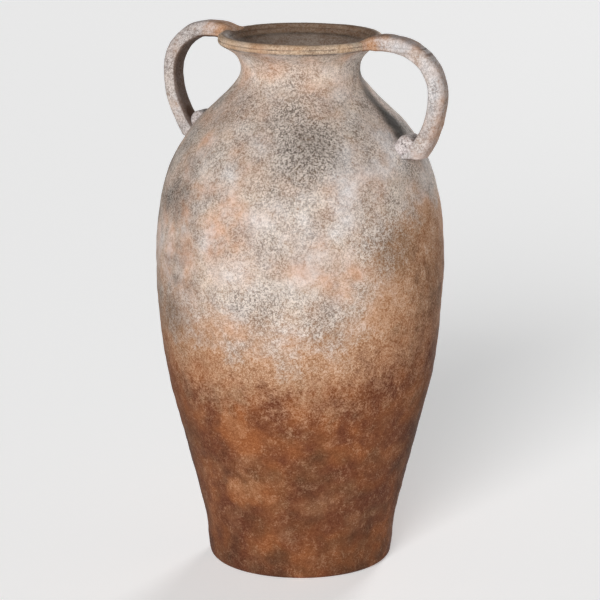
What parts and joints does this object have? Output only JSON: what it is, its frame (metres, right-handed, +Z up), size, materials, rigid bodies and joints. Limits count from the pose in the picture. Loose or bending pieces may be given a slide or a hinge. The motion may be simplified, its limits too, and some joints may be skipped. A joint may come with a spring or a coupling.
{
  "type": "amphora",
  "caption": "Tall ovoid terracotta amphora with flared lip, narrow neck and strap handles from lip to shoulder, hollow throughout.",
  "frame": {"origin": "centre of the flat resting face under the foot", "axes": "+Z up along the jar's axis, +X towards the right handle, the handles lie in the XZ plane"},
  "size_m": [0.355, 0.321, 0.6024],
  "materials": {
    "rust_terracotta": "matte, rough, rust-brown fired clay",
    "limewashed_terracotta": "matte, worn pale wash with fine dark crackle over clay",
    "tan_terracotta": "matte, worn tan clay",
    "grey_washed_terracotta": "matte, grey-beige wash over clay",
    "pale_washed_terracotta": "matte, pale pinkish wash over clay"
  },
  "bodies": {
    "root": {"floor_disc": "rust_terracotta", "lower_wall": "rust_terracotta", "belly_wall": "limewashed_terracotta", "shoulder_wall": "limewashed_terracotta", "neck_collar": "limewashed_terracotta", "lip_coil": "tan_terracotta", "left_handle": "grey_washed_terracotta", "right_handle": "grey_washed_terracotta", "left_handle_roll": "pale_washed_terracotta", "right_handle_roll": "pale_washed_terracotta"}
  },
  "joints": []
}
